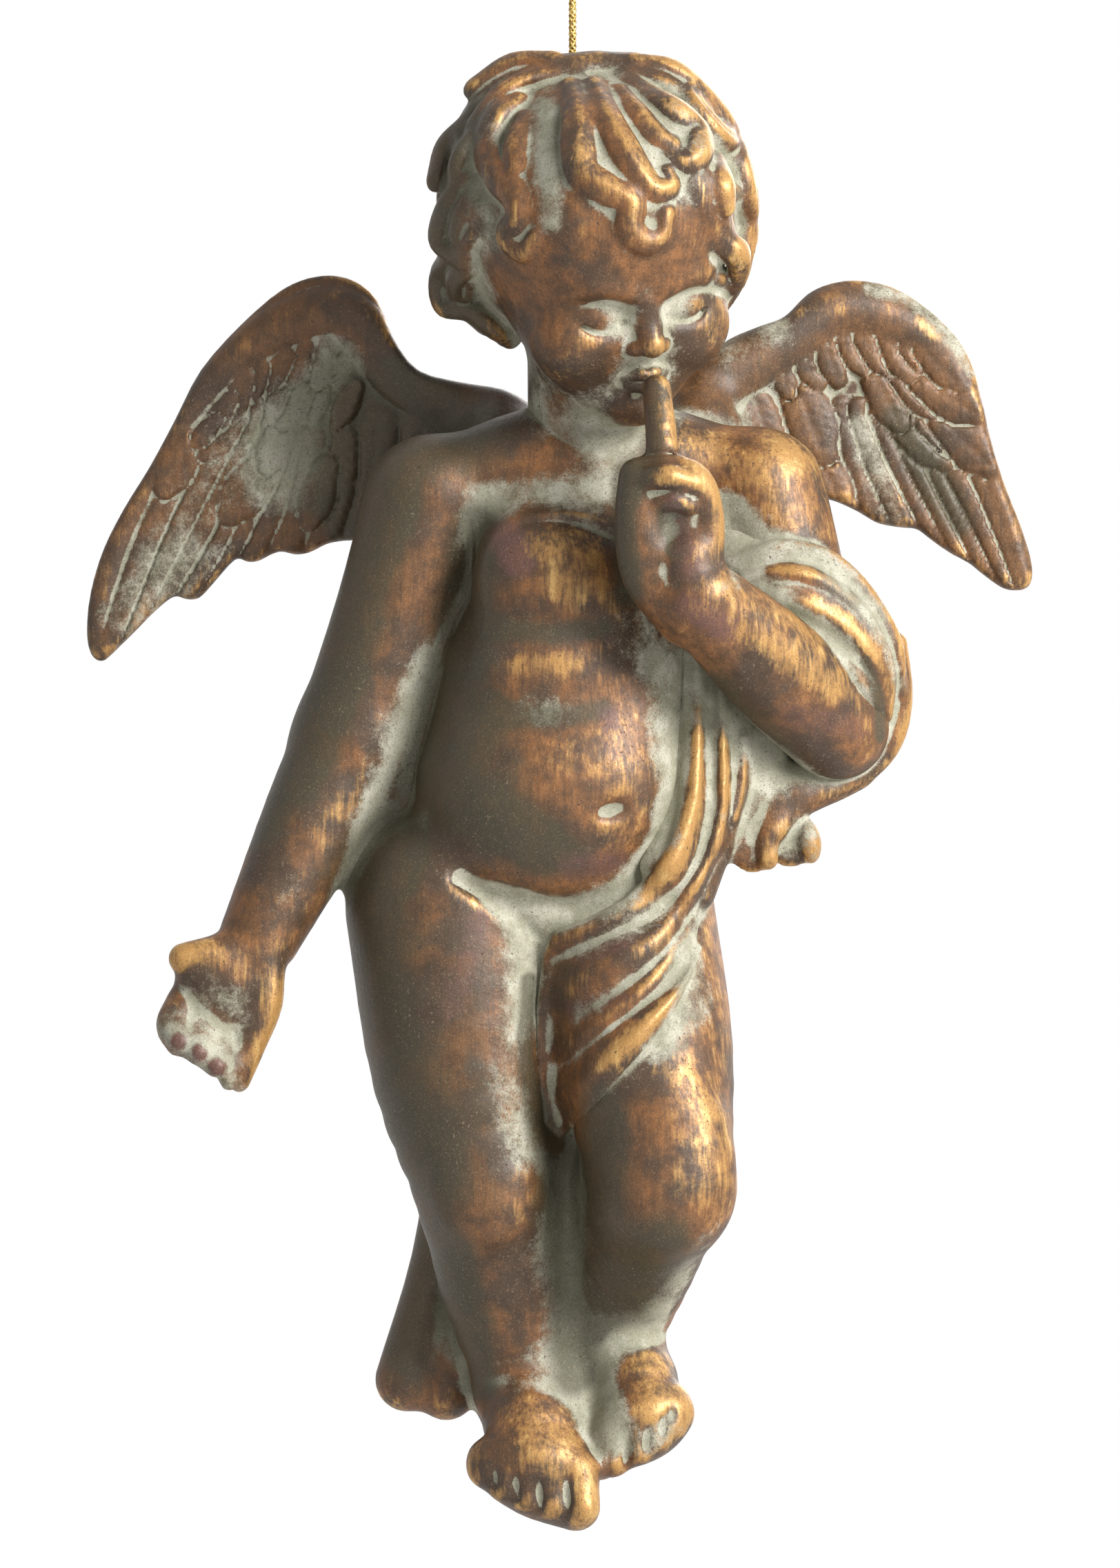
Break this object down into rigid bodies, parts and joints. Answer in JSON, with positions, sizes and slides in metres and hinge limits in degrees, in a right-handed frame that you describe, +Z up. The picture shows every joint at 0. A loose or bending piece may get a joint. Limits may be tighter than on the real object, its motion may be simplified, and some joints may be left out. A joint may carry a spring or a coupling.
{
  "type": "hanging cherub figure",
  "caption": "Winged cherub figure that hangs on a cord, one finger at the lips and the other arm lowered, with a sash across the hip.",
  "frame": {"origin": "inside of the top of the hanging loop, where a hook carries it", "axes": "+Z up along the cord, -Y the way the figure faces, +X towards the figure's raised left arm"},
  "size_m": [0.1294, 0.0481, 0.2375],
  "materials": {
    "bronzed_resin": "copper-brown paint with rubbed antique gold and a grey wash in the hollows",
    "gilded_resin": "the same paint, more gold on the folds and more grey between them",
    "bare_resin": "touched-up resin plug",
    "steel_pin": "plain steel rod",
    "gold_cord": "braided metallic thread"
  },
  "bodies": {
    "loop": {"cord_loop": "gold_cord"},
    "knot": {"cord_knot": "gold_cord"},
    "stem": {"cord_stem": "gold_cord"},
    "figure": {"body_casting": "bronzed_resin", "head_casting": "bronzed_resin", "right_arm_casting": "bronzed_resin", "left_arm_casting": "bronzed_resin", "sash_casting": "gilded_resin", "right_wing_casting": "bronzed_resin", "left_wing_casting": "bronzed_resin", "crown_plug": "bare_resin", "neck_dowel": "steel_pin", "right_shoulder_dowel": "steel_pin", "left_shoulder_dowel": "steel_pin", "right_wing_pin": "steel_pin", "left_wing_pin": "steel_pin"}
  },
  "joints": [
    {"name": "cord_twist", "type": "hinge", "parent": "loop", "child": "knot", "pos_m": [0, 0, -0.028], "axis": [0, 0, 1], "continuous": true},
    {"name": "side_sway", "type": "hinge", "parent": "knot", "child": "stem", "pos_m": [0, 0, -0.0318], "axis": [0, 1, 0], "range_deg": [-25, 25]},
    {"name": "front_swing", "type": "hinge", "parent": "stem", "child": "figure", "pos_m": [0, 0, -0.04225], "axis": [1, 0, 0], "range_deg": [-25, 25]}
  ]
}
